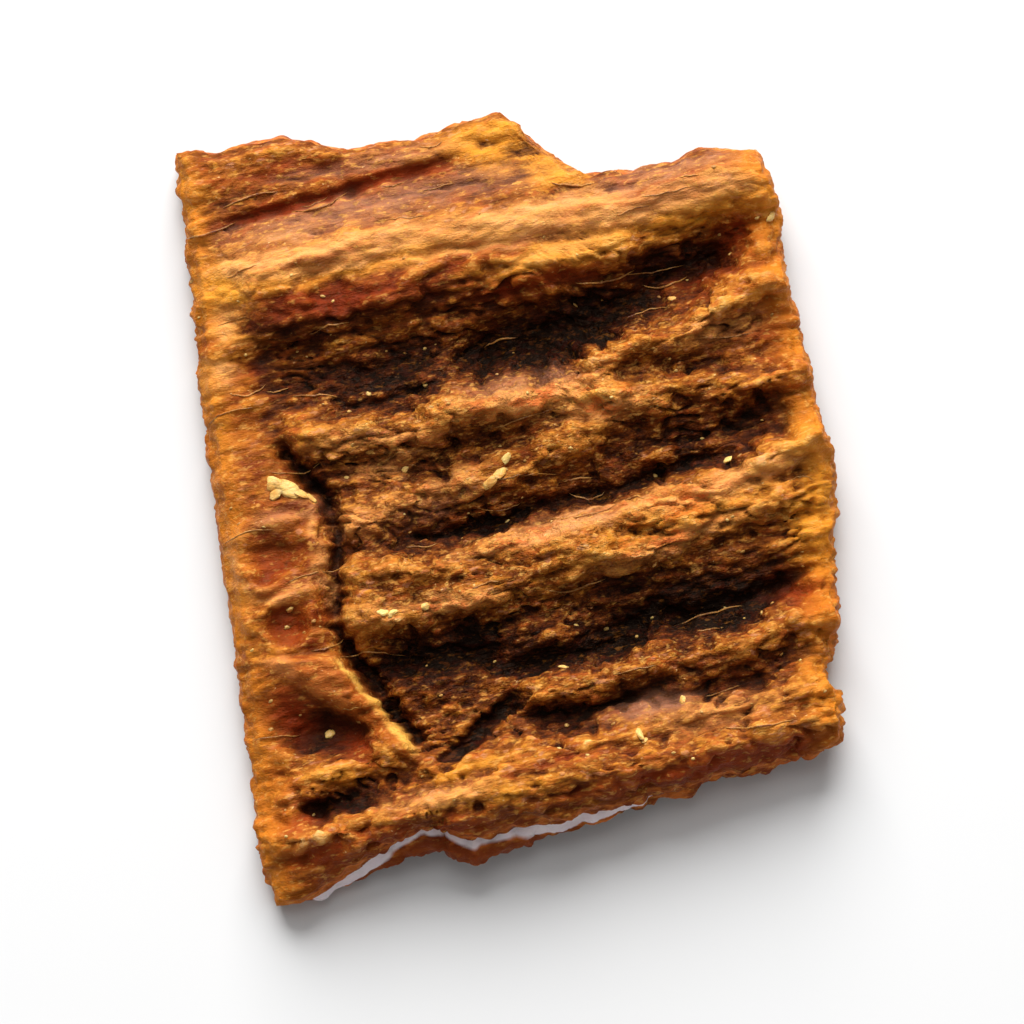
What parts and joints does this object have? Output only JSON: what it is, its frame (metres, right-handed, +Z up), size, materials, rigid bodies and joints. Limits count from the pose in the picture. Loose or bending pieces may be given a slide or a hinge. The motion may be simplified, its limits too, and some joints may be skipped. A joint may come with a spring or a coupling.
{
  "type": "beef jerky dog treat",
  "caption": "Wrinkled square of dried beef for a dog, cut from a sheet, with long ridges along the grain and a torn corner.",
  "frame": {"origin": "on the table, under the middle of the piece's footprint", "axes": "+X along the muscle fibres and the wrinkles, +Y across them towards the torn back edge, +Z up"},
  "size_m": [0.0362, 0.0438, 0.0057],
  "materials": {
    "dried_beef": "dry, slightly oily, with darker folds"
  },
  "bodies": {
    "root": {"jerky_treat": "dried_beef"}
  },
  "joints": []
}
